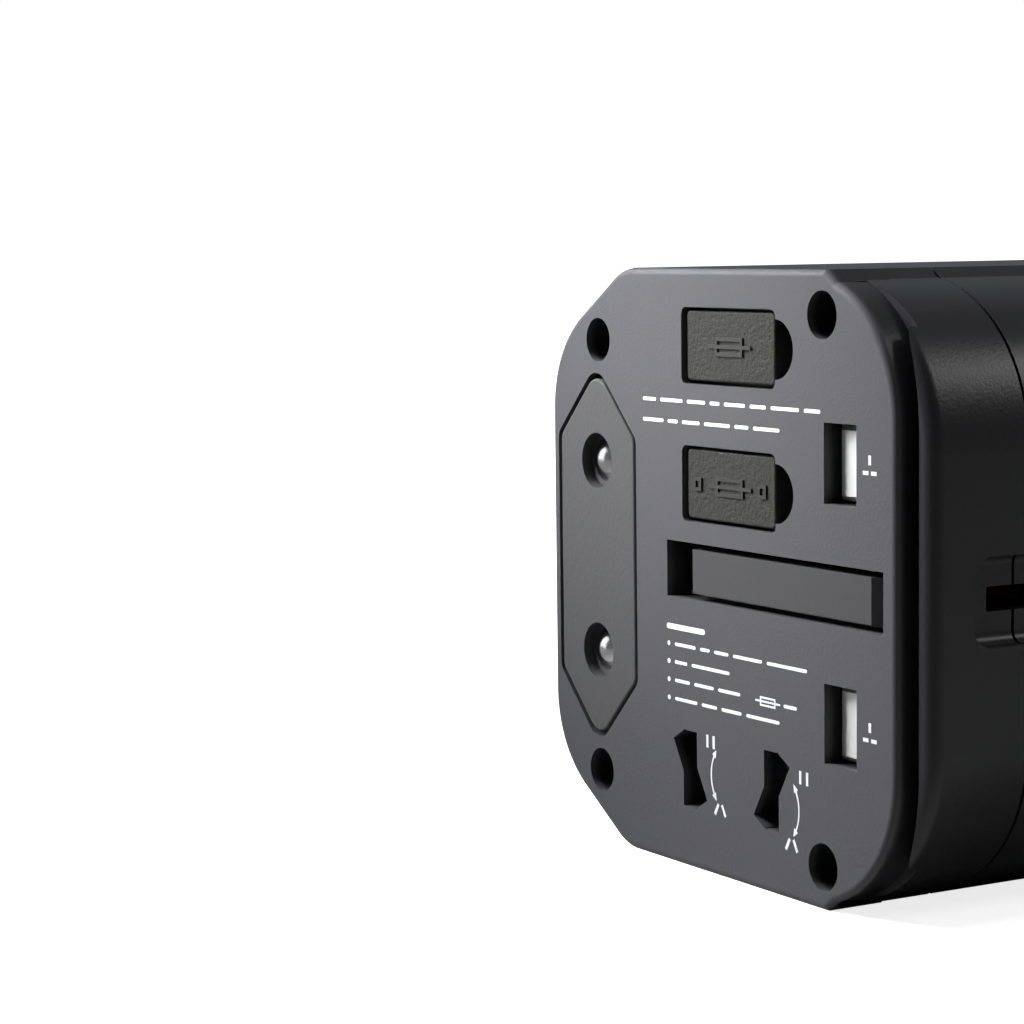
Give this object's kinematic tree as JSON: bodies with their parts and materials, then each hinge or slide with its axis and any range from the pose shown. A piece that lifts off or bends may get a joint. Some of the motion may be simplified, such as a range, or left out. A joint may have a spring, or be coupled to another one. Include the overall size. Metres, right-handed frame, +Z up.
{
  "type": "travel adapter",
  "caption": "Universal travel adapter with sliding UK, europlug and US pins, folding earth pin, fuse drawers, socket face and USB ports.",
  "frame": {"origin": "middle of the bottom of the bounding box, on the surface that the adapter stands on", "axes": "+X to the right across the plug face, +Y from the plug face to the socket face, +Z up"},
  "size_m": [0.0598, 0.068, 0.0547],
  "materials": {
    "face_plastic": "matte dark grey, fine texture",
    "shell_plastic": "satin near-black",
    "socket_plastic": "matte dark grey",
    "block_plastic": "matte dark grey, fine texture",
    "bar_plastic": "matte dark grey",
    "door_plastic": "pebble grain",
    "knob_plastic": "satin, ribbed",
    "carrier_plastic": "plain moulding",
    "sleeve_plastic": "insulating sleeve",
    "shutter_plastic": "plain moulding",
    "pin_brass": "nickel-plated brass",
    "nickel": "bright nickel",
    "screw_steel": "blackened steel",
    "rod_steel": "ground steel",
    "contact_brass": "sprung brass",
    "fuse_cap_metal": "nickel-plated caps",
    "fuse_tube_glass": "clear",
    "board_laminate": "green laminate",
    "ferrite": "sintered ferrite",
    "winding_tape": "yellow tape",
    "capacitor_can": "sleeved can",
    "chip_epoxy": "moulded epoxy",
    "usb_steel": "pressed steel",
    "usb_insulator": "white insulator",
    "light_guide": "clear light pipe"
  },
  "bodies": {
    "housing": {"rear_cover": "face_plastic", "main_shell": "shell_plastic", "front_cover": "shell_plastic", "socket_plate": "socket_plastic", "cover_screws": "screw_steel", "uk_guide_rods": "rod_steel", "us_guide_rods": "rod_steel", "earth_pin_cradle": "carrier_plastic", "earth_hinge_pin": "rod_steel", "fuse_sleeve": "carrier_plastic", "fuse_contact_front": "contact_brass", "fuse_contact_rear": "contact_brass", "bulkhead": "carrier_plastic", "power_board": "board_laminate", "transformer_core": "ferrite", "transformer_winding": "winding_tape", "filter_capacitors": "capacitor_can", "controller_chips": "chip_epoxy", "live_bus_bar": "contact_brass", "neutral_bus_bar": "contact_brass", "live_contact": "contact_brass", "neutral_contact": "contact_brass", "shutter_springs": "rod_steel", "usb_board": "board_laminate", "usb_a_shells": "usb_steel", "usb_a_tongues": "usb_insulator", "usb_c_shell": "usb_steel", "usb_c_tongue": "usb_insulator", "light_pipe": "light_guide", "status_led": "chip_epoxy"},
    "uk_slide": {"uk_carrier": "carrier_plastic", "uk_live_pin": "pin_brass", "uk_neutral_pin": "pin_brass", "uk_slider_knob": "knob_plastic"},
    "earth_fold": {"earth_pin": "bar_plastic"},
    "eu_block": {"eu_block": "block_plastic"},
    "eu_slide": {"eu_pin_carrier": "carrier_plastic", "eu_pins": "nickel", "eu_pin_sleeves": "sleeve_plastic", "eu_slider_knob": "knob_plastic"},
    "us_slide": {"us_carrier": "carrier_plastic", "us_slider_knob": "knob_plastic"},
    "left_blade": {"blade_hub_left": "carrier_plastic", "us_blade_left": "nickel"},
    "right_blade": {"blade_hub_right": "carrier_plastic", "us_blade_right": "nickel"},
    "fuse_drawer": {"fuse_drawer": "door_plastic", "fuse_glass": "fuse_tube_glass", "fuse_caps": "fuse_cap_metal"},
    "spare_fuse_drawer": {"spare_fuse_drawer": "door_plastic", "spare_fuse_glass": "fuse_tube_glass", "spare_fuse_caps": "fuse_cap_metal"},
    "socket_shutter": {"socket_shutter": "shutter_plastic"}
  },
  "joints": [
    {"name": "uk_pin_slide", "type": "slide", "parent": "housing", "child": "uk_slide", "axis": [0, -1, 0], "range_m": [0, 0.0185]},
    {"name": "earth_pin_fold", "type": "hinge", "parent": "housing", "child": "earth_fold", "pos_m": [-0.00277, -0.02985, 0.02735], "axis": [0, 0, -1], "range_deg": [0, 90]},
    {"name": "eu_block_slide", "type": "slide", "parent": "housing", "child": "eu_block", "axis": [0, -1, 0], "range_m": [0, 0.014]},
    {"name": "eu_pin_slide", "type": "slide", "parent": "eu_block", "child": "eu_slide", "axis": [0, -1, 0], "range_m": [0, 0.019]},
    {"name": "us_blade_slide", "type": "slide", "parent": "housing", "child": "us_slide", "axis": [0, -1, 0], "range_m": [0, 0.0195]},
    {"name": "right_blade_turn", "type": "hinge", "parent": "us_slide", "child": "right_blade", "pos_m": [0.0094, -0.011, 0.00915], "axis": [0, 1, 0], "range_deg": [0, 30]},
    {"name": "left_blade_turn", "type": "hinge", "parent": "us_slide", "child": "left_blade", "pos_m": [-0.0033, -0.011, 0.00915], "axis": [0, 1, 0], "range_deg": [-30, 0]},
    {"name": "fuse_drawer_slide", "type": "slide", "parent": "housing", "child": "fuse_drawer", "axis": [0, -1, 0], "range_m": [0, 0.022]},
    {"name": "spare_fuse_drawer_slide", "type": "slide", "parent": "housing", "child": "spare_fuse_drawer", "axis": [0, -1, 0], "range_m": [0, 0.022]},
    {"name": "shutter_slide", "type": "slide", "parent": "housing", "child": "socket_shutter", "axis": [0, 0, -1], "range_m": [0, 0.008], "stiffness_N_per_m": 60, "springref_m": -0.002, "deforming": ["shutter_springs"]}
  ],
  "couplings": [
    {"joint": "left_blade_turn", "follows": "right_blade_turn", "ratio": -1}
  ]
}
